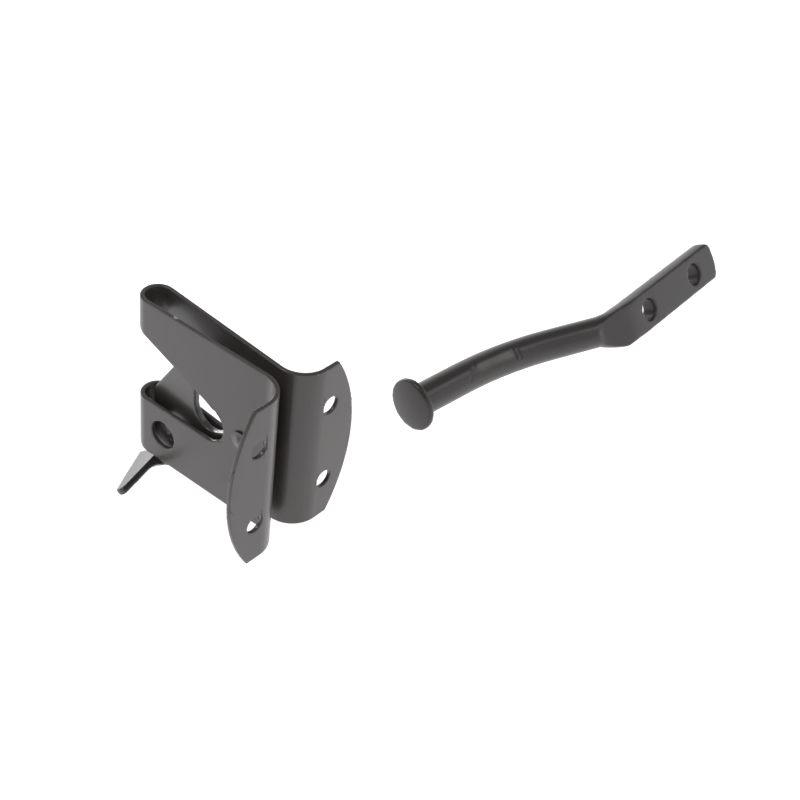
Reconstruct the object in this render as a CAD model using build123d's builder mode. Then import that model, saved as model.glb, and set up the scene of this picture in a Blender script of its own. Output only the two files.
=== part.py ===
from build123d import *
from math import cos, degrees, radians, sin, sqrt, tan
import os

# Lockable gate latch with its striker bar, in millimetres.
# The bracket is screwed to a post by its two wings. The plane x = 0 is the wings' post
# side, the origin is the middle of the four screw holes, the nose points along -X and
# the height of the bracket runs along Z.

# Bracket, one folded sheet
SHEET = 1.6
BRACKET_HEIGHT = 64.6
NOSE_REACH = 69.8
NOSE_RADIUS = 6.0
WALL_TAPER = 2.43
WING_BEND = 8.9
WING_HALF_WIDTH = 27.9
WING_CORNER_HALF_WIDTH = 18.6
SCREW_PITCH = 32.0
SCREW_HOLE = 6.5

# Mouth that the bar enters, and the throat at its end
THROAT_RADIUS = 7.35
THROAT_REACH = 34.9
THROAT_DROP = 1.4
MOUTH_FLARE = 21.9
UPPER_JAW_CORNER = 4.4
LOWER_JAW_CORNER = 7.0

# Padlock hole through both walls and the pawl
PADLOCK_HOLE = 10.6
PADLOCK_REACH = 55.2
PADLOCK_DROP = 20.0

# Pivot rivet
PIVOT_REACH = 19.6
RIVET_SHANK = 5.0
RIVET_HEAD = 7.2
RIVET_RIM = 0.5
RIVET_CROWN = 4.4
RIVET_CROWN_RISE = 0.6
RIVET_SEAT = 0.05
WALL_FIT = 0.02
RUNNING_FIT = 0.08

# Pawl, one plate with its thumb tab standing out of it
PAWL_THICKNESS = 2.6
PAWL_BOSS = 7.5
HOOK_TOP = 17.0
HOOK_TIP_WIDTH = 4.65
HOOK_TIP_RADIUS = 2.2
HOOK_NOSE_GAP = 4.0
HOOK_KNEE_DROP = 6.35
HOOK_KNEE_RADIUS = 6.0
NOTCH_RADIUS = 7.1
NOTCH_BACK = 2.5
NOTCH_RAMP = 21.3

# Thumb tab, standing on a line that points at the pivot
TAB_ROOT_ANGLE = 40.3
TAB_ROOT_START = 55.3
TAB_LEAN_ANGLE = 76.0
TAB_LENGTH = 21.5
TAB_WIDTH = 15.4
TAB_TIP_WIDTH = 3.8
TAB_TIP_RADIUS = 1.8
TAB_WEB = 8.0
TAIL_SHOULDER = 28.5
TAIL_NECK = 4.6
TAIL_HEEL = 4.5
TAIL_HEEL_LENGTH = 10.0
TAIL_HEEL_RADIUS = 2.0
TAIL_RUN = 10.2
TAIL_SLOPE = 27.0
TAIL_BELLY_RADIUS = 12.0
BOSS_TOUCH_ANGLE = -48.0

# Striker bar, forged from one round rod, lying level with the bracket's lower edge
ROD = 12.2
HEAD = 20.2
HEAD_RIM = 2.2
HEAD_CROWN = 1.1
BAR_AWAY = 74.4
BAR_SIDE = 9.45
BAR_YAW = 5.6
BAR_NEAR = 47.0
BAR_MIDDLE = 58.15
BAR_FIRST_BEND = 14.5
BAR_SECOND_BEND = 22.3
BAR_FIRST_RADIUS = 180.0
BEND_MARK_START = 26.8
BEND_MARK_LENGTH = 22.2
BEND_MARK_DEPTH = 0.2
BEND_MARK_ANGLE = 57.0

# Palm, the flattened end of the bar
PALM_WIDTH = 16.8
PALM_THICKNESS = 6.8
PALM_LENGTH = 69.2
PALM_ROLL = 31.5
PALM_FLARE = 13.0
PALM_START = -2.0
PALM_SIDE_BULGE = 0.6
PALM_LEAD = 20.0
PALM_LEAD_DROP = 4.0
PALM_LEAD_END = 2.0
PALM_LEAD_ANGLE = 50.0
PALM_BACK_START = 4.0
PALM_DIE_RADIUS = 10.0
PALM_CORNER = 4.5
PALM_END_RADIUS = 30.0
PALM_HOLE = 9.3
PALM_HOLE_PITCH = 36.5
PALM_HOLE_MARGIN = 17.3

# How far a cut runs past the faces that it goes through
OVERCUT = 2.0

os.makedirs("parts", exist_ok=True)

half_height = BRACKET_HEIGHT / 2
half_sheet = SHEET / 2
half_pawl = PAWL_THICKNESS / 2
nose_axis = NOSE_RADIUS - NOSE_REACH
lean = radians(WALL_TAPER)
flare = radians(MOUTH_FLARE)
pivot = Vector(-PIVOT_REACH, 0)
padlock = Vector(-PADLOCK_REACH, -PADLOCK_DROP)
throat = Vector(-THROAT_REACH, -THROAT_DROP)


def wall_half_width(x):
    """Distance from the middle plane to the outer face of a wall at x."""
    return NOSE_RADIUS / cos(lean) - (x - nose_axis) * tan(lean)


def polar(angle, length):
    """Vector in a sketch, from its angle in degrees and its length."""
    return Vector(cos(radians(angle)), sin(radians(angle))) * length


# Bracket

fold_radius = NOSE_RADIUS - half_sheet
fold_end = Vector(nose_axis + fold_radius * sin(lean), fold_radius * cos(lean))
wing_x = -half_sheet
wing_y = fold_end.Y - (wing_x - fold_end.X) * tan(lean)
wing_end = WING_HALF_WIDTH + OVERCUT
throat_top = throat + polar(90 - MOUTH_FLARE, THROAT_RADIUS)
mouth_low = throat.Y - THROAT_RADIUS
mouth_high = throat_top.Y + (throat_top.X + NOSE_REACH) * tan(flare)

with BuildPart() as bracket:
    # The folded sheet seen from above: nose, tapering walls, bends and wings
    with BuildSketch(Plane.XY.offset(-half_height)):
        with BuildLine():
            ThreePointArc(
                (fold_end.X, -fold_end.Y), (nose_axis - fold_radius, 0), (fold_end.X, fold_end.Y)
            )
            for side in (1, -1):
                FilletPolyline(
                    (fold_end.X, side * fold_end.Y),
                    (wing_x, side * wing_y),
                    (wing_x, side * wing_end),
                    radius=WING_BEND + half_sheet,
                )
        trace(line_width=SHEET)
    extrude(amount=BRACKET_HEIGHT)

    # Side view: the mouth between the jaws, the throat and the rounded nose corners
    with BuildSketch(Plane.XZ):
        with BuildLine():
            FilletPolyline(
                (OVERCUT, -half_height),
                (OVERCUT, half_height),
                (-NOSE_REACH, half_height),
                (-NOSE_REACH, mouth_high),
                throat_top,
                (throat.X, mouth_low),
                (-NOSE_REACH, mouth_low),
                (-NOSE_REACH, -half_height),
                radius=(0, 0, 0, UPPER_JAW_CORNER, 0, 0, 0, LOWER_JAW_CORNER),
                close=True,
            )
        make_face()
        with Locations(throat):
            Circle(THROAT_RADIUS, mode=Mode.SUBTRACT)
    extrude(amount=wing_end, both=True, mode=Mode.INTERSECT)

    # Wing outline: the free edges bulge away from the walls
    with BuildSketch(Plane.YZ):
        with BuildLine():
            for side in (1, -1):
                ThreePointArc(
                    (side * WING_CORNER_HALF_WIDTH, -half_height),
                    (side * WING_HALF_WIDTH, 0),
                    (side * WING_CORNER_HALF_WIDTH, half_height),
                )
                Line(
                    (-WING_CORNER_HALF_WIDTH, side * half_height),
                    (WING_CORNER_HALF_WIDTH, side * half_height),
                )
        make_face()
    extrude(amount=-(NOSE_REACH + OVERCUT), mode=Mode.INTERSECT)

    # Screw holes, padlock hole and rivet holes
    with BuildSketch(Plane.YZ):
        with GridLocations(SCREW_PITCH, SCREW_PITCH, 2, 2):
            Circle(SCREW_HOLE / 2)
    extrude(amount=-(SHEET + OVERCUT), mode=Mode.SUBTRACT)
    with BuildSketch(Plane.XZ):
        with Locations(padlock):
            Circle(PADLOCK_HOLE / 2)
        with Locations(pivot):
            Circle(RIVET_SHANK / 2 + WALL_FIT)
    extrude(amount=NOSE_RADIUS + OVERCUT, both=True, mode=Mode.SUBTRACT)
bracket.part.label = "bracket"
export_step(bracket.part, "parts/bracket.step")


# Pawl

tab_lean = radians(TAB_LEAN_ANGLE)
outward = polar(180 + TAB_ROOT_ANGLE, 1)
across = polar(TAB_ROOT_ANGLE - 90, 1)


def tail(reach, drop):
    """Point of the plate at a reach from the pivot along the tab's root and a drop across it."""
    return pivot + outward * reach + across * drop


tab_near = tail(TAB_ROOT_START, 0)
tab_axis = Vector(outward.X, 0, outward.Y)
tab_across = Vector(across.X, 0, across.Y)
tab_run = tab_across * cos(tab_lean) - Vector(0, sin(tab_lean), 0)
tab_section = Plane(origin=(tab_near.X, 0, tab_near.Y), x_dir=tab_across, z_dir=tab_axis)
tab_half = half_pawl / sin(tab_lean)
tab_side = polar(TAB_LEAN_ANGLE - 90, half_pawl)
tab_foot = polar(TAB_LEAN_ANGLE, -tab_half)
tab_end = polar(TAB_LEAN_ANGLE, TAB_LENGTH)
web_top = polar(TAB_LEAN_ANGLE, TAB_WEB)

with BuildPart() as tab:
    # Tab in section, leaning out of the plate from its far face
    with BuildSketch(tab_section):
        with BuildLine():
            Polyline(
                tab_foot - Vector(tab_half, 0),
                tab_end - tab_side,
                tab_end + tab_side,
                tab_foot + Vector(tab_half, 0),
                close=True,
            )
        make_face()
    extrude(amount=TAB_WIDTH)
    # Outline of the tab, sloping in from its root toward a rounded tip
    with BuildSketch(Plane(origin=tab_section.origin, x_dir=tab_axis, z_dir=tab_axis.cross(tab_run))):
        with BuildLine():
            FilletPolyline(
                (0, -PAWL_THICKNESS),
                (0, TAB_LENGTH),
                (TAB_TIP_WIDTH, TAB_LENGTH),
                (TAB_WIDTH, -tab_half),
                (TAB_WIDTH, -PAWL_THICKNESS),
                radius=(0, TAB_TIP_RADIUS, TAB_TIP_RADIUS, 0, 0),
                close=True,
            )
        make_face()
    extrude(amount=PAWL_THICKNESS, both=True, mode=Mode.INTERSECT)
    # Hollow web under the tab, out to the heel of the tail
    with BuildSketch(tab_section):
        with BuildLine():
            hollow = TangentArc(
                web_top + tab_side, (TAIL_HEEL, half_pawl), tangent=polar(TAB_LEAN_ANGLE, -1)
            )
            Polyline(hollow @ 1, (TAIL_HEEL, 0), (0, 0), web_top, hollow @ 0)
        make_face()
    extrude(amount=TAIL_HEEL_LENGTH - TAIL_HEEL_RADIUS)

notch = Vector(-THROAT_REACH - NOTCH_BACK, -THROAT_DROP)
ramp_start = notch + polar(NOTCH_RAMP - 90, NOTCH_RADIUS)
hook_front = NOSE_REACH - SHEET - HOOK_NOSE_GAP
knee = Vector(-hook_front, -HOOK_KNEE_DROP)
hook_back = notch.X - NOTCH_RADIUS
heel = tail(TAB_ROOT_START, TAIL_HEEL)
heel_end = tail(TAB_ROOT_START + TAIL_HEEL_LENGTH, TAIL_HEEL)
neck = tail(TAB_ROOT_START + TAIL_NECK, -tab_half)
belly = heel + polar(TAIL_SLOPE, TAIL_RUN)
touch_point = pivot + polar(BOSS_TOUCH_ANGLE, PAWL_BOSS)

with BuildPart() as pawl:
    # Plate seen from the side: hook, notch, boss, tail and shoulder
    with BuildSketch(Plane.XZ):
        with BuildLine():
            FilletPolyline(
                knee,
                (hook_back - HOOK_TIP_WIDTH, HOOK_TOP),
                (hook_back, HOOK_TOP),
                (hook_back, notch.Y),
                ramp_start,
                pivot,
                touch_point,
                belly,
                heel,
                heel_end,
                neck,
                (-hook_front, -TAIL_SHOULDER),
                radius=(
                    HOOK_KNEE_RADIUS,
                    HOOK_TIP_RADIUS,
                    HOOK_TIP_RADIUS,
                    0,
                    0,
                    0,
                    0,
                    TAIL_BELLY_RADIUS,
                    0,
                    TAIL_HEEL_RADIUS,
                    0,
                    TAIL_HEEL_RADIUS,
                ),
                close=True,
            )
        make_face()
        with Locations(notch):
            Circle(NOTCH_RADIUS, mode=Mode.SUBTRACT)
        with Locations(pivot):
            Circle(PAWL_BOSS)
            Circle(RIVET_SHANK / 2 + RUNNING_FIT, mode=Mode.SUBTRACT)
        with Locations(padlock):
            Circle(PADLOCK_HOLE / 2, mode=Mode.SUBTRACT)
    extrude(amount=half_pawl, both=True)
    add(tab.part)
pawl.part.label = "pawl"
export_step(pawl.part, "parts/pawl.step")


# Pivot rivet

rivet_radius = RIVET_SHANK / 2
head_radius = RIVET_HEAD / 2
crown_radius = RIVET_CROWN / 2
seat = wall_half_width(pivot.X - head_radius) + RIVET_SEAT
crown_start = seat + RIVET_RIM
crown_top = crown_start + RIVET_CROWN_RISE
rivet_axis = Axis((pivot.X, 0, pivot.Y), (0, 1, 0))

with BuildPart() as pivot_rivet:
    # Half section on one side of the middle plane, turned about the pin's axis
    with BuildSketch(Plane(origin=(pivot.X, 0, pivot.Y), x_dir=(1, 0, 0), z_dir=(0, 0, 1))):
        with BuildLine():
            Polyline(
                (0, crown_top),
                (0, 0),
                (rivet_radius, 0),
                (rivet_radius, seat),
                (head_radius, seat),
                (head_radius, crown_start),
                (crown_radius, crown_start),
            )
            TangentArc((0, crown_top), (crown_radius, crown_start), tangent=(1, 0))
        make_face()
    revolve(axis=rivet_axis)
    mirror(about=Plane.XZ)
pivot_rivet.part.label = "pivot_rivet"
export_step(pivot_rivet.part, "parts/pivot_rivet.step")


# Striker bar


def heading(angle):
    """Level direction, from its angle in degrees from +Y toward +X."""
    return Vector(sin(radians(angle)), cos(radians(angle)), 0)


upward = Vector(0, 0, 1)
rod_radius = ROD / 2
palm_yaw = BAR_YAW + BAR_FIRST_BEND - BAR_SECOND_BEND
near_run = heading(BAR_YAW)
middle_run = heading(BAR_YAW + BAR_FIRST_BEND)
palm_run = heading(palm_yaw)
palm_roll = radians(PALM_ROLL)
palm_normal = heading(palm_yaw + 90) * cos(palm_roll) + upward * sin(palm_roll)
palm_across = palm_normal.cross(palm_run)
bar_start = Vector(-BAR_SIDE, BAR_AWAY, HEAD / 2 - half_height)
first_corner = bar_start + near_run * BAR_NEAR
second_corner = first_corner + middle_run * BAR_MIDDLE
flare_start = second_corner - middle_run * PALM_FLARE
flare_end = second_corner + palm_run * PALM_START
flare_bow = (middle_run - palm_run) * ((flare_end - flare_start).length / 8)
flare_middle = (flare_start + flare_end) / 2 + flare_bow
flare_run = middle_run + palm_run
palm_end = second_corner + palm_run * PALM_LENGTH
half_width = PALM_WIDTH / 2
half_thickness = PALM_THICKNESS / 2
side_depth = half_thickness / sqrt(1 - (1 - PALM_SIDE_BULGE / half_width) ** 2)
die_end = PALM_LENGTH + PALM_DIE_RADIUS
die_top = half_thickness + 2 * PALM_DIE_RADIUS
lead_start = PALM_LEAD_END - PALM_LEAD
lead_low = half_thickness - PALM_LEAD_DROP
lead_edge = lead_start - (die_top - lead_low) / tan(radians(PALM_LEAD_ANGLE))
spread = (rod_radius + half_width) / 2
mark_turn = (BEND_MARK_START - BAR_NEAR) / BAR_FIRST_RADIUS + tan(radians(BAR_FIRST_BEND / 2))
mark_yaw = BAR_YAW + degrees(mark_turn)
bend_start = first_corner - near_run * (BAR_FIRST_RADIUS * tan(radians(BAR_FIRST_BEND / 2)))
bend_centre = bend_start + heading(BAR_YAW + 90) * BAR_FIRST_RADIUS
mark_side = heading(mark_yaw + 90)

with BuildPart() as striker_bar:
    # Round rod along its first bend
    with BuildLine() as spine:
        FilletPolyline(bar_start, first_corner, flare_start, radius=BAR_FIRST_RADIUS)
    with BuildSketch(Plane(origin=bar_start, z_dir=near_run)):
        Circle(rod_radius)
    sweep(path=spine.line)

    # Flats that the bending dies left on two sides of the first bend
    with BuildSketch(
        Plane(
            origin=bend_centre - mark_side * BAR_FIRST_RADIUS,
            x_dir=mark_side,
            z_dir=-heading(mark_yaw),
        )
    ):
        for tilt in (BEND_MARK_ANGLE, BEND_MARK_ANGLE + 180):
            with Locations(polar(tilt, ROD - BEND_MARK_DEPTH)):
                Rectangle(ROD, ROD, rotation=tilt)
    revolve(
        axis=Axis(bend_centre, -upward),
        revolution_arc=degrees(BEND_MARK_LENGTH / BAR_FIRST_RADIUS),
        mode=Mode.SUBTRACT,
    )

    # Low domed head upset on the near end
    with BuildSketch(Plane(origin=bar_start, x_dir=upward, z_dir=upward.cross(near_run))):
        with BuildLine():
            dome = TangentArc(
                (0, -HEAD_RIM / 2 - HEAD_CROWN), (HEAD / 2, -HEAD_RIM / 2), tangent=(1, 0)
            )
            Polyline(dome @ 1, (HEAD / 2, HEAD_RIM / 2), (0, HEAD_RIM / 2), dome @ 0)
        make_face()
    revolve(axis=Axis(bar_start, near_run))

    # Palm: round its bend the rod spreads sideways, then two dies press its faces flat
    with BuildSketch(Plane(origin=flare_start, x_dir=palm_normal.cross(middle_run), z_dir=middle_run)):
        Circle(rod_radius)
    with BuildSketch(Plane(origin=flare_middle, x_dir=palm_normal.cross(flare_run), z_dir=flare_run)):
        Ellipse(spread, (rod_radius + side_depth) / 2)
    with BuildSketch(Plane(origin=flare_end, x_dir=palm_across, z_dir=palm_run)) as palm_section:
        Ellipse(half_width, side_depth)
    loft()
    extrude(to_extrude=palm_section.sketch, amount=PALM_LENGTH - PALM_START)
    with BuildSketch(Plane(origin=second_corner, x_dir=palm_run, z_dir=-palm_across)):
        with BuildLine():
            FilletPolyline(
                (die_end, half_thickness),
                (PALM_LEAD_END, half_thickness),
                (lead_start, lead_low),
                (lead_edge, die_top),
                (die_end, die_top),
                radius=(0, PALM_DIE_RADIUS, PALM_DIE_RADIUS, 0, 0),
                close=True,
            )
        make_face()
        with Locations(((PALM_BACK_START + die_end) / 2, -half_thickness - PALM_DIE_RADIUS)):
            SlotCenterToCenter(die_end - PALM_BACK_START, 2 * PALM_DIE_RADIUS)
    extrude(amount=PALM_WIDTH, both=True, mode=Mode.SUBTRACT)

    # Rounded end of the palm and its two holes
    with BuildSketch(Plane(origin=palm_end, x_dir=palm_run, z_dir=palm_normal)):
        Rectangle(2 * PALM_CORNER, PALM_WIDTH + OVERCUT)
        with Locations((-half_width, 0)):
            RectangleRounded(PALM_WIDTH, PALM_WIDTH, PALM_CORNER, mode=Mode.SUBTRACT)
        with Locations((-PALM_HOLE_MARGIN, 0), (-PALM_HOLE_MARGIN - PALM_HOLE_PITCH, 0)):
            Circle(PALM_HOLE / 2)
    extrude(amount=PALM_THICKNESS, both=True, mode=Mode.SUBTRACT)
    with BuildSketch(Plane(origin=palm_end, x_dir=palm_run, z_dir=palm_normal)):
        Rectangle(2 * PALM_CORNER, PALM_WIDTH + OVERCUT)
        with Locations((-PALM_END_RADIUS, 0)):
            Circle(PALM_END_RADIUS, mode=Mode.SUBTRACT)
    extrude(amount=PALM_THICKNESS, both=True, mode=Mode.SUBTRACT)
striker_bar.part.label = "striker_bar"
export_step(striker_bar.part, "parts/striker_bar.step")
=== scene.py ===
"""Looks of a lockable gate latch and its striker bar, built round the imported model."""

import logging
import math
from dataclasses import dataclass
from enum import Enum
from functools import reduce
from operator import or_
from typing import Any

import bmesh
import bpy
from mathutils import Matrix, Vector
from mathutils.geometry import intersect_point_line


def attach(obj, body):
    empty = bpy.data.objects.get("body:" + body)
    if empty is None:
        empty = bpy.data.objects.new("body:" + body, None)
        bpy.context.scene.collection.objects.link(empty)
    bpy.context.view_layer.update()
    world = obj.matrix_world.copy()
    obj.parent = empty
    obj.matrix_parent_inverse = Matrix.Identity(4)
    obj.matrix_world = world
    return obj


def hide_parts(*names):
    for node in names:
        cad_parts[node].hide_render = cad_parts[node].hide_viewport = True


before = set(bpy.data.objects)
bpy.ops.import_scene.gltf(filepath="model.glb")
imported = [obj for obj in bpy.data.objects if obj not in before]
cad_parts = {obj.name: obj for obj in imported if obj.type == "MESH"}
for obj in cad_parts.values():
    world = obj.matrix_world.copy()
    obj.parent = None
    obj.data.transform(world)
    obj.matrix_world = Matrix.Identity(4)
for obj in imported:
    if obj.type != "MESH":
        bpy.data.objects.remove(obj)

log = logging.getLogger("gate_latch")
Triple = tuple[float, float, float]
Rgba = tuple[float, float, float, float]
MM: float = 0.001
X, Y, Z = range(3)
NOISE_MEAN: float = 0.5
WHITE: Rgba = (1.0, 1.0, 1.0, 1.0)


class Body(Enum):
    """Rigid bodies that pieces ride on."""

    LATCH = "latch_frame"
    PAWL = "pawl"


class Slot(Enum):
    """Paint slots of the pieces."""

    BRACKET = "bracket_paint"
    PAWL = "pawl_paint"
    RIVET = "rivet_paint"
    BAR = "bar_paint"


class Seen(Enum):
    """Kinds of ray that see the white of the light table."""

    CAMERA = "Is Camera Ray"
    GLOSSY = "Is Glossy Ray"
    TRANSMISSION = "Is Transmission Ray"


def opaque(colour: Triple) -> Rgba:
    """A colour with full alpha."""
    return (*colour, 1.0)


def share_of_one(value: float) -> float:
    """A number held between 0 and 1."""
    return max(0.0, min(1.0, value))


def new_object(name: str, data: bpy.types.ID) -> bpy.types.Object:
    """Puts a new object into the scene.

    Args:
        name: name of the object.
        data: its mesh, lamp or camera.

    Returns:
        The object.
    """
    made = bpy.data.objects.new(name, data)
    bpy.context.scene.collection.objects.link(made)
    return made


def settle(piece: bpy.types.Object) -> bpy.types.Mesh:
    """Turns a piece and its modifiers into a plain mesh.

    Args:
        piece: object that carries the modifiers.

    Returns:
        The plain mesh, which the piece then carries.
    """
    ready = bpy.context.evaluated_depsgraph_get()
    shaped = bpy.data.meshes.new_from_object(piece.evaluated_get(ready))
    piece.modifiers.clear()
    piece.data = shaped
    return shaped


class Wire:
    """One number socket of a shader, with maths that adds nodes."""

    def __init__(self, board: "Board", socket: bpy.types.NodeSocket) -> None:
        """Keeps the socket and the board that it belongs to.

        Args:
            board: board that new maths nodes are added to.
            socket: output socket that carries the number.
        """
        self.board = board
        self.socket = socket

    def maths(self, operation: str, first: Any, second: Any, clamp: bool = False) -> "Wire":
        """Adds one Math node.

        Args:
            operation: name of the node's operation.
            first: number or wire of the first input.
            second: number or wire of the second input.
            clamp: whether the result is held between 0 and 1.

        Returns:
            The node's result.
        """
        settings = {"operation": operation, "use_clamp": clamp}
        made = self.board.node("ShaderNodeMath", settings, {0: first, 1: second})
        return Wire(self.board, made.outputs[0])

    def __add__(self, other: Any) -> "Wire":
        """Sum with a number or wire."""
        return self.maths("ADD", self, other)

    __radd__ = __add__

    def __mul__(self, other: Any) -> "Wire":
        """Product with a number or wire."""
        return self.maths("MULTIPLY", self, other)

    __rmul__ = __mul__

    def __sub__(self, other: Any) -> "Wire":
        """Difference from a number or wire."""
        return self.maths("SUBTRACT", self, other)

    def __rsub__(self, other: Any) -> "Wire":
        """A number less this wire."""
        return self.maths("SUBTRACT", other, self)

    def __or__(self, other: "Wire") -> "Wire":
        """Larger of two masks."""
        return self.maths("MAXIMUM", self, other)

    def held(self, gain: float) -> "Wire":
        """This number times a gain, held between 0 and 1."""
        return self.maths("MULTIPLY", self, gain, clamp=True)


class Board:
    """Node tree of one material, world or shape."""

    noise_roughness: float = 0.55

    def __init__(self, tree: bpy.types.NodeTree) -> None:
        """Empties a node tree and keeps it.

        Args:
            tree: tree to build in.
        """
        self.tree = tree
        tree.nodes.clear()

    def node(self, kind: str, settings: dict[str, Any], inputs: dict[Any, Any]) -> bpy.types.Node:
        """Adds a node.

        Args:
            kind: Blender's name of the node's type.
            settings: attributes to set before the sockets.
            inputs: value, wire or socket for each input, by name or number.

        Returns:
            The new node.
        """
        made = self.tree.nodes.new(kind)
        for key, value in settings.items():
            setattr(made, key, value)
        for key, value in inputs.items():
            if isinstance(value, Wire):
                value = value.socket
            if isinstance(value, bpy.types.NodeSocket):
                self.tree.links.new(value, made.inputs[key])
            else:
                made.inputs[key].default_value = value
        return made

    def wire(self, node: bpy.types.Node, output: Any = 0) -> Wire:
        """Number output of a node, by name or place."""
        return Wire(self, node.outputs[output])

    def place(self) -> bpy.types.NodeSocket:
        """Object coordinates of the piece."""
        return self.node("ShaderNodeTexCoord", {}, {}).outputs["Object"]

    def attribute(self, name: str) -> Wire:
        """Number that the piece's own mesh carries under a name."""
        made = self.node("ShaderNodeAttribute", {"attribute_name": name}, {})
        return self.wire(made, "Fac")

    def noise(self, where: bpy.types.NodeSocket, scale: float, detail: float) -> Wire:
        """Noise over the piece.

        Args:
            where: coordinates that it reads.
            scale: spots to the metre.
            detail: number of finer layers.

        Returns:
            The noise, about 0.5 on average.
        """
        values = {
            "Vector": where,
            "Scale": scale,
            "Detail": detail,
            "Roughness": self.noise_roughness,
        }
        return self.wire(self.node("ShaderNodeTexNoise", {}, values))

    def gap(self, where: bpy.types.NodeSocket, point: Triple) -> Wire:
        """Distance of the surface from a point.

        Args:
            where: coordinates that it reads.
            point: the point, in metres.

        Returns:
            The distance in metres.
        """
        values = {0: where, 1: point}
        made = self.node("ShaderNodeVectorMath", {"operation": "DISTANCE"}, values)
        return self.wire(made, "Value")

    def ramp(self, value: Any, start: float, end: float) -> Wire:
        """Smooth rise from 0 to 1.

        Args:
            value: socket that it reads.
            start: value where the rise begins.
            end: value where it ends.

        Returns:
            The height of the rise.
        """
        settings = {"interpolation_type": "SMOOTHSTEP"}
        values = {0: value, 1: start, 2: end, 3: 0.0, 4: 1.0}
        return self.wire(self.node("ShaderNodeMapRange", settings, values))

    def blend(self, factor: Wire, first: Any, second: Any) -> bpy.types.NodeSocket:
        """Mixes two colours.

        Args:
            factor: share of the second colour.
            first: colour or socket at 0.
            second: colour or socket at 1.

        Returns:
            The mixed colour.
        """
        made = self.node("ShaderNodeMix", {"data_type": "RGBA"}, {0: factor, 6: first, 7: second})
        return made.outputs[2]

    def seen_white(self) -> Wire:
        """Mask of the rays that see the white of the light table."""
        path = self.node("ShaderNodeLightPath", {}, {})
        return reduce(or_, [self.wire(path, kind.value) for kind in Seen])


@dataclass(frozen=True)
class WornSpot:
    """Small place where the paint is knocked through to a paler coat."""

    at: Triple
    radius: float


@dataclass(frozen=True)
class BlackPaint:
    """Black paint on metal: faint mottling, fine orange peel, a few knocks and a painted
    highlight on flats.
    """

    name: str
    colour: Triple
    roughness: float
    coat: float
    coat_roughness: float = 0.2
    roughness_swing: float = 0.16
    mottle: float = 0.16
    mottle_scale: float = 70.0
    mottle_detail: float = 3.0
    peel_scale: float = 1100.0
    peel_detail: float = 1.0
    peel_height: float = 0.05
    peel_depth: float = 0.1 * MM
    worn: tuple[WornSpot, ...] = ()
    worn_colour: Triple = (0.42, 0.41, 0.40)
    worn_roughness: float = 0.15
    worn_ragged: float = 1.2 * MM
    worn_rim: float = 4.0
    # Painted highlight: name of the mesh attribute for flats painted lighter in place of the
    # light they reflect.
    highlight_flats: str = ""
    highlight_colour: Triple = (0.135, 0.124, 0.120)
    highlight_roughness: float = 0.1
    highlight_gain: float = 2.2
    highlight_loss: float = 0.35

    def shade(self, share: float) -> Rgba:
        """The paint's colour, lighter or darker by a share."""
        red, green, blue = (part * (1 + share) for part in self.colour)
        return (red, green, blue, 1.0)

    def knocks(self, board: Board, where: bpy.types.NodeSocket, fine: Wire) -> Wire:
        """Mask of the worn spots, with ragged rims.

        Args:
            board: board of the material.
            where: coordinates of the piece.
            fine: noise that makes the rims ragged.

        Returns:
            The mask, 1 where the paint is knocked through.
        """
        ragged = (fine - NOISE_MEAN) * self.worn_ragged
        spots = [
            (spot.radius - (board.gap(where, spot.at) + ragged)).held(self.worn_rim / spot.radius)
            for spot in self.worn
        ]
        return reduce(or_, spots)

    def material(self) -> bpy.types.Material:
        """Builds the paint.

        Returns:
            The finished material.
        """
        made = bpy.data.materials.new(self.name)
        made.use_nodes = True
        board = Board(made.node_tree)
        where = board.place()
        broad = board.noise(where, self.mottle_scale, self.mottle_detail)
        fine = board.noise(where, self.peel_scale, self.peel_detail)
        tint = board.blend(broad, self.shade(-self.mottle), self.shade(self.mottle))
        rough = self.roughness + (broad - NOISE_MEAN) * self.roughness_swing
        if self.worn:
            mask = self.knocks(board, where, fine)
            tint = board.blend(mask, tint, opaque(self.worn_colour))
            rough = rough + mask * self.worn_roughness
        # Painted highlight: the marked flats take a lighter colour that stands in for the light
        # they reflect.
        if self.highlight_flats:
            flats = board.attribute(self.highlight_flats) * (broad * self.highlight_gain - self.highlight_loss)
            tint = board.blend(flats.held(1.0), tint, opaque(self.highlight_colour))
            rough = rough + flats * self.highlight_roughness
        bump = board.node(
            "ShaderNodeBump",
            {},
            {"Strength": self.peel_height, "Distance": self.peel_depth, "Height": fine},
        )
        shader = board.node(
            "ShaderNodeBsdfPrincipled",
            {},
            {
                "Base Color": tint,
                "Roughness": rough,
                "Coat Weight": self.coat,
                "Coat Roughness": self.coat_roughness,
                "Normal": bump.outputs[0],
            },
        )
        board.node("ShaderNodeOutputMaterial", {}, {"Surface": shader.outputs[0]})
        return made


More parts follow.
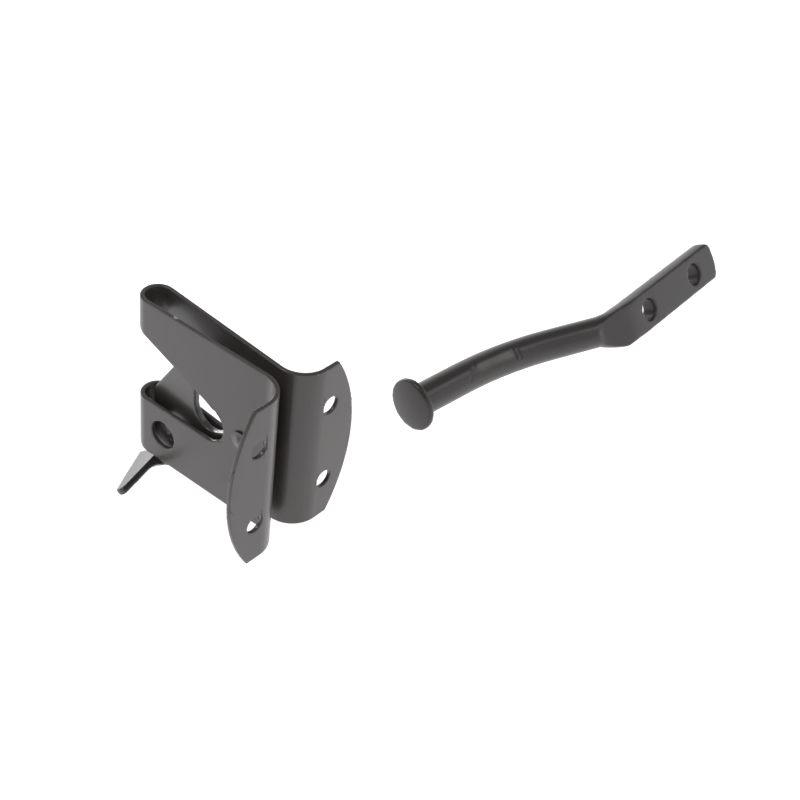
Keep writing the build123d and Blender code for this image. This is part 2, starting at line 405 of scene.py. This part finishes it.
@dataclass
class PaintedPiece:
    """One painted piece of the set, which stands for one solid."""

    paint: BlackPaint
    node: str
    body: Body
    slot: Slot
    weld: float = 0.001 * MM

    def merged(self) -> bmesh.types.BMesh:
        """Copies the solid's mesh and joins its loose triangles.

        Returns:
            The copy, for the caller to free.
        """
        bm = bmesh.new()
        bm.from_mesh(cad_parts[self.node].data)
        bmesh.ops.remove_doubles(bm, verts=bm.verts, dist=self.weld)
        return bm

    def prepare(self, bm: bmesh.types.BMesh) -> None:
        """Makes the copied mesh ready for the modifiers."""

    def finish_shape(self, piece: bpy.types.Object) -> None:
        """Adds the modifiers that give the painted shape."""

    def touch_up(self, mesh: bpy.types.Mesh) -> None:
        """Works over the finished mesh before it is painted."""

    def build(self) -> bpy.types.Object:
        """Makes the piece, paints it and puts it on its body.

        Returns:
            The finished object.
        """
        name = f"{self.node}_painted"
        mesh = bpy.data.meshes.new(name)
        bm = self.merged()
        self.prepare(bm)
        bm.to_mesh(mesh)
        bm.free()
        mesh.shade_smooth()
        piece = new_object(name, mesh)
        self.finish_shape(piece)
        shaped = settle(piece)
        self.touch_up(shaped)
        shaped.materials.clear()
        shaped.materials.append(self.paint.material())
        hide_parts(self.node)
        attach(piece, self.body.value)
        log.info("%s: %d faces", piece.name, len(shaped.polygons))
        return piece


@dataclass
class EasedPiece(PaintedPiece):
    """Piece with crisp edges, eased a little by the press and the paint.

    Each entry of divided names the axis that its cuts step along, and the axis that the faces
    it cuts look along, or None for all faces. All cuts are shifted by cut_shift of the pitch.
    """

    edge: float = 0.42 * MM
    corner_angle: float = 30.0
    segments: int = 3
    flat_weight: int = 50
    mesh_pitch: float = 4 * MM
    cut_shift: float = 0.37
    cut_snap: float = 0.02 * MM
    flat_limit: float = 0.9985
    divided: tuple[tuple[int, int | None], ...] = ((Z, None), (X, Y), (Y, X))

    def is_cut(self, face: bmesh.types.BMFace, facing: int | None) -> bool:
        """Whether the cuts go through a face, as they do where no facing is asked for."""
        return facing is None or abs(face.normal[facing]) > self.flat_limit

    def is_corner(self, edge: bmesh.types.BMEdge) -> bool:
        """Whether an edge is sharp enough to be eased."""
        sharp = math.radians(self.corner_angle)
        return len(edge.link_faces) == 2 and edge.calc_face_angle() > sharp

    def prepare(self, bm: bmesh.types.BMesh) -> None:
        """Divides the faces evenly, so that shading stays local, and marks the sharp edges.

        Args:
            bm: the copied mesh.
        """
        for across, facing in self.divided:
            places = [vert.co[across] for vert in bm.verts]
            first = math.ceil(min(places) / self.mesh_pitch)
            last = math.floor(max(places) / self.mesh_pitch)
            normal = Vector((0, 0, 0))
            normal[across] = 1.0
            for step in range(first, last + 1):
                cut = [face for face in bm.faces if self.is_cut(face, facing)]
                parts = {part for face in cut for part in (*face.verts, *face.edges, face)}
                point = normal * ((step + self.cut_shift) * self.mesh_pitch)
                bmesh.ops.bisect_plane(
                    bm, geom=list(parts), dist=self.cut_snap, plane_co=point, plane_no=normal
                )
        weight = bm.edges.layers.float.new("bevel_weight_edge")
        for edge in bm.edges:
            if self.is_corner(edge):
                edge[weight] = 1.0

    def finish_shape(self, piece: bpy.types.Object) -> None:
        """Eases the marked edges and evens the shading of the flats.

        Args:
            piece: object that carries the prepared mesh.
        """
        ease = piece.modifiers.new("eased_edges", "BEVEL")
        ease.width = self.edge
        ease.segments = self.segments
        ease.limit_method = "WEIGHT"
        ease.loop_slide = False
        ease.use_clamp_overlap = False
        even = piece.modifiers.new("even_shading", "WEIGHTED_NORMAL")
        even.mode = "FACE_AREA"
        even.weight = self.flat_weight


@dataclass(frozen=True)
class SoftPlace:
    """Place on a piece where the edges are rounded over further, most at its middle."""

    at: Triple
    radius: float
    rounds: int
    closing: float = 0.75

    def holds(self, vert: bmesh.types.BMVert, turn: int = 0) -> bool:
        """Whether a round of smoothing reaches a point: each round keeps closer to the middle."""
        share = 1 - self.closing * turn / self.rounds
        return (vert.co - Vector(self.at)).length < self.radius * share


@dataclass
class SoftPiece(PaintedPiece):
    """Piece whose edges are rounded over, as on forged and tumbled steel under thick paint."""

    skin: float = 0.4 * MM
    rounds: int = 9
    pull: float = 0.5
    soft_places: tuple[SoftPlace, ...] = ()

    def finish_shape(self, piece: bpy.types.Object) -> None:
        """Draws one even skin over the solid and rounds its edges.

        Args:
            piece: object that carries the copied mesh.
        """
        skin = piece.modifiers.new("even_skin", "REMESH")
        skin.mode = "VOXEL"
        skin.voxel_size = self.skin
        skin.use_smooth_shade = True
        rounded = piece.modifiers.new("rounded_edges", "SMOOTH")
        rounded.factor = self.pull
        rounded.iterations = self.rounds

    def smooth(self, bm: bmesh.types.BMesh, verts: list[bmesh.types.BMVert]) -> None:
        """Draws points of the skin once towards their neighbours.

        Args:
            bm: the piece's skin.
            verts: points that move.
        """
        bmesh.ops.smooth_vert(
            bm, verts=verts, factor=self.pull, use_axis_x=True, use_axis_y=True, use_axis_z=True
        )

    def work_over(self, bm: bmesh.types.BMesh) -> None:
        """Rounds the soft places over further.

        Args:
            bm: the piece's skin.
        """
        for place in self.soft_places:
            near = [vert for vert in bm.verts if place.holds(vert)]
            for turn in range(place.rounds):
                self.smooth(bm, [vert for vert in near if place.holds(vert, turn)])

    def touch_up(self, mesh: bpy.types.Mesh) -> None:
        """Works over the finished skin.

        Args:
            mesh: the piece's skin.
        """
        bm = bmesh.new()
        bm.from_mesh(mesh)
        self.work_over(bm)
        bm.to_mesh(mesh)
        bm.free()


@dataclass
class FoldedBracket(EasedPiece):
    """Sheet bracket, folded round its two noses, with a flared wing on each wall."""

    node: str = "bracket"
    body: Body = Body.LATCH
    slot: Slot = Slot.BRACKET


@dataclass
class PivotRivet(EasedPiece):
    """Rivet that carries the pawl."""

    node: str = "pivot_rivet"
    body: Body = Body.LATCH
    slot: Slot = Slot.RIVET
    edge: float = 0.12 * MM


@dataclass
class HookPawl(SoftPiece):
    """Pressed pawl with its hook and thumb tab, softest at the tab's tip."""

    node: str = "pawl"
    body: Body = Body.PAWL
    slot: Slot = Slot.PAWL
    skin: float = 0.3 * MM
    soft_places: tuple[SoftPlace, ...] = (
        SoftPlace((-0.0600, -0.0200, -0.0400), 8 * MM, 14),
        SoftPlace((-0.0600, -0.0100, -0.0380), 8 * MM, 14),
    )


@dataclass(frozen=True)
class ToolMark:
    """Shallow groove that the edge of a bending die pressed into the bar."""

    path: tuple[Triple, ...]
    width: float
    depth: float

    def gap(self, point: Vector) -> float:
        """Distance of a point from the groove's line.

        Args:
            point: the point, in metres.

        Returns:
            The distance to the nearest stretch of the line.
        """
        gaps = []
        for start, end in zip(self.path, self.path[1:]):
            first, last = Vector(start), Vector(end)
            share = intersect_point_line(point, first, last)[1]
            gaps.append((point - first.lerp(last, share_of_one(share))).length)
        return min(gaps)

    def press(self, verts: list[bmesh.types.BMVert]) -> None:
        """Presses the groove into the points of a mesh.

        Args:
            verts: points of the mesh, with their normals up to date.
        """
        for vert in verts:
            share = 1 - self.gap(vert.co) / self.width
            if share > 0:
                vert.co -= vert.normal * (self.depth * share)


@dataclass
class StrikerBar(SoftPiece):
    """Forged bar with a button head, two bends and a flattened palm.

    The first bend has flats from the bending dies on two sides, which carry a painted highlight:
    a lighter colour that stands in for the brighter light they reflect. Its share falls by one
    for each flat_spread degrees that the skin turns from flat_facing. It falls from a height
    above one, so that the middle carries the full painted highlight.
    """

    node: str = "striker_bar"
    body: Body = Body.LATCH
    slot: Slot = Slot.BAR
    skin: float = 0.42 * MM
    rounds: int = 14
    palm_facing: Triple = (0.852, -0.065, 0.519)
    palm_limit: float = 0.975
    palm_lead: tuple[float, float] = (163 * MM, 196 * MM)
    palm_rounds: int = 120
    flat_facing: Triple = (0.537, -0.10, 0.838)
    flat_run: tuple[float, float] = (104.2 * MM, 122.2 * MM)
    flat_spread: float = 8.0
    # Painted highlight on the bend flats, carried by this mesh attribute.
    highlight_flats: str = "highlight_flats"
    highlight_height: float = 1.6
    feather: int = 10
    feather_margin: float = 3 * MM
    mark_reach: float = 8 * MM
    soft_places: tuple[SoftPlace, ...] = (
        SoftPlace((0.0141, 0.1779, -0.0142), 7 * MM, 24),
        SoftPlace((0.0222, 0.1785, -0.0285), 7 * MM, 24),
        SoftPlace((0.0095, 0.2430, -0.0150), 9 * MM, 16),
    )
    tool_marks: tuple[ToolMark, ...] = (
        ToolMark(
            ((-0.0049, 0.1036, -0.0163), (-0.0033, 0.1009, -0.0175), (-0.0017, 0.0982, -0.0193)),
            width=0.9 * MM,
            depth=0.16 * MM,
        ),
        ToolMark(
            ((-0.0010, 0.1221, -0.0165), (0.0017, 0.1215, -0.0186)),
            width=0.8 * MM,
            depth=0.28 * MM,
        ),
        ToolMark(
            ((0.0002, 0.1237, -0.0169), (0.0025, 0.1235, -0.0190)),
            width=0.8 * MM,
            depth=0.2 * MM,
        ),
    )

    def run_in_palm(self, bm: bmesh.types.BMesh) -> None:
        """Smooths the crease where the palm's face runs into the bar.

        Args:
            bm: the bar's skin.
        """
        palm = Vector(self.palm_facing).normalized()
        first, last = self.palm_lead
        face = [
            vert
            for vert in bm.verts
            if first < vert.co.y < last and vert.normal.dot(palm) > self.palm_limit
        ]
        for _ in range(self.palm_rounds):
            self.smooth(bm, face)

    def paint_flat_highlight(self, bm: bmesh.types.BMesh) -> None:
        """Marks where the painted highlight lies on the flats of the first bend, with feathered
        rims.

        Args:
            bm: the bar's skin, with its normals up to date.
        """
        flat = Vector(self.flat_facing).normalized()
        start, end = self.flat_run
        # Share of the painted highlight, from how nearly the skin faces flat_facing.
        mask = bm.verts.layers.float.new(self.highlight_flats)
        for vert in bm.verts:
            if start < vert.co.y < end:
                turn = math.degrees(math.acos(min(1.0, abs(vert.normal.dot(flat)))))
                vert[mask] = share_of_one(self.highlight_height - turn / self.flat_spread)
        for _ in range(self.feather):
            feathered = {}
            for vert in bm.verts:
                if start - self.feather_margin < vert.co.y < end + self.feather_margin:
                    ring = [edge.other_vert(vert)[mask] for edge in vert.link_edges]
                    feathered[vert] = (vert[mask] + sum(ring) / len(ring)) / 2
            for vert, share in feathered.items():
                vert[mask] = share

    def press_marks(self, bm: bmesh.types.BMesh) -> None:
        """Presses the marks of the bending dies into the skin.

        Args:
            bm: the bar's skin, with its normals up to date.
        """
        for mark in self.tool_marks:
            along = mark.path[0][Y]
            mark.press([vert for vert in bm.verts if abs(vert.co.y - along) < self.mark_reach])

    def work_over(self, bm: bmesh.types.BMesh) -> None:
        """Runs the palm into the bar, rounds its corners, then marks the painted highlight and
        the die marks.

        Args:
            bm: the bar's skin.
        """
        self.run_in_palm(bm)
        super().work_over(bm)
        bm.normal_update()
        self.paint_flat_highlight(bm)
        self.press_marks(bm)


@dataclass
class PaintNibs:
    """Grains of dust caught under the paint, strewn over one piece."""

    name: str
    body: Body
    slot: Slot
    paint: BlackPaint
    seed: int
    spacing: float = 9 * MM
    density: float = 1800.0
    radius: float = 0.2 * MM
    height: float = 0.45
    length: float = 1.0
    width: float = 0.8
    smallest: float = 0.55
    largest: float = 1.25
    divisions: int = 2

    def tree(self, material: bpy.types.Material) -> bpy.types.NodeTree:
        """Builds the nodes that strew the grains.

        Args:
            material: paint that covers them.

        Returns:
            The node tree, with its sizes as named inputs.
        """
        tree = bpy.data.node_groups.new(self.name, "GeometryNodeTree")
        board = Board(tree)
        face = tree.interface
        face.new_socket("Geometry", in_out="INPUT", socket_type="NodeSocketGeometry")
        for label in ("Spacing", "Density", "Radius", "Height"):
            face.new_socket(label, in_out="INPUT", socket_type="NodeSocketFloat")
        face.new_socket("Seed", in_out="INPUT", socket_type="NodeSocketInt")
        face.new_socket("Geometry", in_out="OUTPUT", socket_type="NodeSocketGeometry")
        given = board.node("NodeGroupInput", {}, {}).outputs
        strewn = board.node(
            "GeometryNodeDistributePointsOnFaces",
            {"distribute_method": "POISSON"},
            {
                "Mesh": given["Geometry"],
                "Distance Min": given["Spacing"],
                "Density Max": given["Density"],
                "Seed": given["Seed"],
            },
        )
        grain = board.node(
            "GeometryNodeMeshIcoSphere",
            {},
            {"Radius": given["Radius"], "Subdivisions": self.divisions},
        )
        low = board.node(
            "ShaderNodeCombineXYZ", {}, {X: self.length, Y: self.width, Z: given["Height"]}
        )
        vary = board.node(
            "FunctionNodeRandomValue",
            {"data_type": "FLOAT"},
            {2: self.smallest, 3: self.largest, "Seed": given["Seed"]},
        )
        sized = board.node(
            "ShaderNodeVectorMath",
            {"operation": "SCALE"},
            {0: low.outputs[0], "Scale": vary.outputs[1]},
        )
        placed = board.node(
            "GeometryNodeInstanceOnPoints",
            {},
            {
                "Points": strewn.outputs["Points"],
                "Instance": grain.outputs["Mesh"],
                "Rotation": strewn.outputs["Rotation"],
                "Scale": sized.outputs[0],
            },
        )
        real = board.node("GeometryNodeRealizeInstances", {}, {0: placed.outputs[0]})
        smooth = board.node("GeometryNodeSetShadeSmooth", {}, {0: real.outputs[0]})
        dressed = board.node(
            "GeometryNodeSetMaterial", {}, {0: smooth.outputs[0], "Material": material}
        )
        board.node("NodeGroupOutput", {}, {0: dressed.outputs[0]})
        return tree

    def build(self, carrier: bpy.types.Object) -> bpy.types.Object:
        """Strews the grains over a finished piece.

        Args:
            carrier: piece that they lie on.

        Returns:
            The finished object.
        """
        tree = self.tree(self.paint.material())
        piece = new_object(self.name, carrier.data.copy())
        strew = piece.modifiers.new("strew", "NODES")
        strew.node_group = tree
        sizes = {
            "Spacing": self.spacing,
            "Density": self.density,
            "Radius": self.radius,
            "Height": self.height,
            "Seed": self.seed,
        }
        for item in tree.interface.items_tree:
            if item.in_out == "INPUT" and item.name in sizes:
                strew[item.identifier] = sizes[item.name]
        shaped = settle(piece)
        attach(piece, self.body.value)
        log.info("%s: %d faces", piece.name, len(shaped.polygons))
        return piece


@dataclass(frozen=True)
class Panel:
    """Soft square lamp, with its side in metres and its power in watts."""

    name: str
    at: Triple
    aim: Triple
    size: float
    power: float

    def hang(self) -> None:
        """Hangs the panel so that it faces the point that it aims at."""
        data = bpy.data.lights.new(self.name, "AREA")
        data.size = self.size
        data.energy = self.power
        away = Vector(self.at) - Vector(self.aim)
        turn = away.to_track_quat("Z", "Y").to_matrix().to_4x4()
        new_object(self.name, data).matrix_world = Matrix.Translation(self.at) @ turn


@dataclass
class Studio:
    """Light table with a pale surround, a dim ceiling, soft panels and the camera.

    The surround fades from ceiling to wall between the heights of wall_fade, and from the left
    wall to the right one between the places of side_fade, all as parts of a unit direction.
    """

    floor_level: float = -57 * MM
    floor_size: float = 60.0
    floor_colour: Triple = (0.86, 0.86, 0.86)
    floor_glow: float = 0.75
    left_wall: float = 0.45
    right_wall: float = 1.0
    ceiling: float = 0.22
    wall_fade: tuple[float, float] = (0.6, 0.05)
    side_fade: tuple[float, float] = (-0.6, 0.5)
    lens: float = 65.81
    sensor: float = 36.0
    clip: tuple[float, float] = (0.01, 100.0)
    camera_at: Triple = (0.22770, -0.26194, 0.31623)
    camera_right: Triple = (0.750454, 0.652010, 0.108172)
    camera_up: Triple = (-0.481109, 0.426697, 0.765810)
    camera_back: Triple = (0.453159, -0.626748, 0.633904)
    panels: tuple[Panel, ...] = (
        Panel("overhead_panel", (-0.42, -0.46, 0.82), (0.0, 0.0, 0.0), 0.36, 2.6),
        Panel("low_left_panel", (-0.62, 0.24, 0.07), (-0.06, -0.01, -0.037), 0.24, 1.1),
        Panel("right_panel", (0.72, 0.66, 0.5), (0.0, 0.1, 0.0), 0.6, 0.8),
        Panel("streak_panel", (0.324, 0.590, 0.648), (-0.003, 0.09, -0.018), 0.26, 0.45),
        Panel("back_left_panel", (-0.69, 0.79, 0.23), (-0.003, 0.09, -0.018), 0.5, 0.5),
    )

    def camera(self) -> None:
        """Sets up the camera at the photograph's viewing angle."""
        data = bpy.data.cameras.new("view")
        data.lens = self.lens
        data.sensor_width = self.sensor
        data.sensor_fit = "HORIZONTAL"
        data.clip_start, data.clip_end = self.clip
        view = new_object("view", data)
        axes = Matrix((self.camera_right, self.camera_up, self.camera_back)).transposed()
        view.matrix_world = Matrix.Translation(self.camera_at) @ axes.to_4x4()
        bpy.context.scene.camera = view

    def floor(self) -> None:
        """Lays the light table, white to the camera and in reflections, with its shadow kept."""
        half = self.floor_size / 2
        mesh = bpy.data.meshes.new("light_table")
        around = ((-half, -half), (half, -half), (half, half), (-half, half))
        mesh.from_pydata([(x, y, self.floor_level) for x, y in around], [], [(0, 1, 2, 3)])
        made = bpy.data.materials.new("light_table")
        made.use_nodes = True
        board = Board(made.node_tree)
        matt = board.node("ShaderNodeBsdfDiffuse", {}, {"Color": opaque(self.floor_colour)})
        glow = board.node(
            "ShaderNodeEmission", {}, {"Color": WHITE, "Strength": self.floor_glow}
        )
        both = board.node("ShaderNodeAddShader", {}, {0: matt.outputs[0], 1: glow.outputs[0]})
        shown = board.node(
            "ShaderNodeMixShader",
            {},
            {0: board.seen_white(), 1: matt.outputs[0], 2: both.outputs[0]},
        )
        board.node("ShaderNodeOutputMaterial", {}, {"Surface": shown.outputs[0]})
        mesh.materials.append(made)
        new_object("light_table", mesh)

    def world(self) -> None:
        """Puts pale walls round the table, palest at the right, and a dim ceiling above."""
        sky = bpy.data.worlds.new("surround")
        bpy.context.scene.world = sky
        sky.use_nodes = True
        board = Board(sky.node_tree)
        facing = board.node("ShaderNodeTexCoord", {}, {}).outputs["Generated"]
        parts = board.node("ShaderNodeSeparateXYZ", {}, {0: facing}).outputs
        low = board.ramp(parts[Z], *self.wall_fade)
        right = board.ramp(parts[X], *self.side_fade)
        wall = self.left_wall + right * (self.right_wall - self.left_wall)
        strength = self.ceiling + low * (wall - self.ceiling)
        light = board.node("ShaderNodeBackground", {}, {"Color": WHITE, "Strength": strength})
        board.node("ShaderNodeOutputWorld", {}, {"Surface": light.outputs[0]})

    def build(self) -> None:
        """Sets up camera, floor, surround and panels."""
        self.camera()
        self.floor()
        self.world()
        for panel in self.panels:
            panel.hang()
        bpy.context.scene.view_settings.view_transform = "Standard"


def main() -> None:
    """Builds the pieces in order and reports each one."""
    logging.basicConfig(level=logging.INFO)
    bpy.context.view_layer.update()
    Studio().build()
    bracket_black = BlackPaint(
        "bracket_black",
        colour=(0.058, 0.0490, 0.0480),
        roughness=0.4,
        coat=0.5,
        worn=(
            WornSpot((-50.6 * MM, -4.1 * MM, 32.1 * MM), 1.1 * MM),
            WornSpot((-0.3 * MM, 8.9 * MM, 32.2 * MM), 0.5 * MM),
            WornSpot((-0.2 * MM, 9.3 * MM, -32.2 * MM), 0.6 * MM),
        ),
    )
    pawl_black = BlackPaint(
        "pawl_black", colour=(0.046, 0.0392, 0.0384), roughness=0.4, coat=0.75
    )
    bar_black = BlackPaint(
        "bar_black",
        colour=(0.037, 0.0312, 0.0304),
        roughness=0.38,
        coat=0.25,
        # Painted highlight on the bar's bend flats.
        highlight_flats=StrikerBar.highlight_flats,
    )
    rivet_black = BlackPaint(
        "rivet_black",
        colour=(0.026, 0.0245, 0.024),
        roughness=0.36,
        coat=0.6,
        mottle=0.7,
        mottle_scale=420.0,
        peel_scale=700.0,
        peel_height=0.5,
    )
    bracket = FoldedBracket(paint=bracket_black).build()
    pawl = HookPawl(paint=pawl_black).build()
    PivotRivet(paint=rivet_black).build()
    StrikerBar(paint=bar_black).build()
    PaintNibs("bracket_nibs", Body.LATCH, Slot.BRACKET, bracket_black, seed=4).build(bracket)
    PaintNibs("pawl_nibs", Body.PAWL, Slot.PAWL, pawl_black, seed=9).build(pawl)


if __name__ == "__main__":
    main()
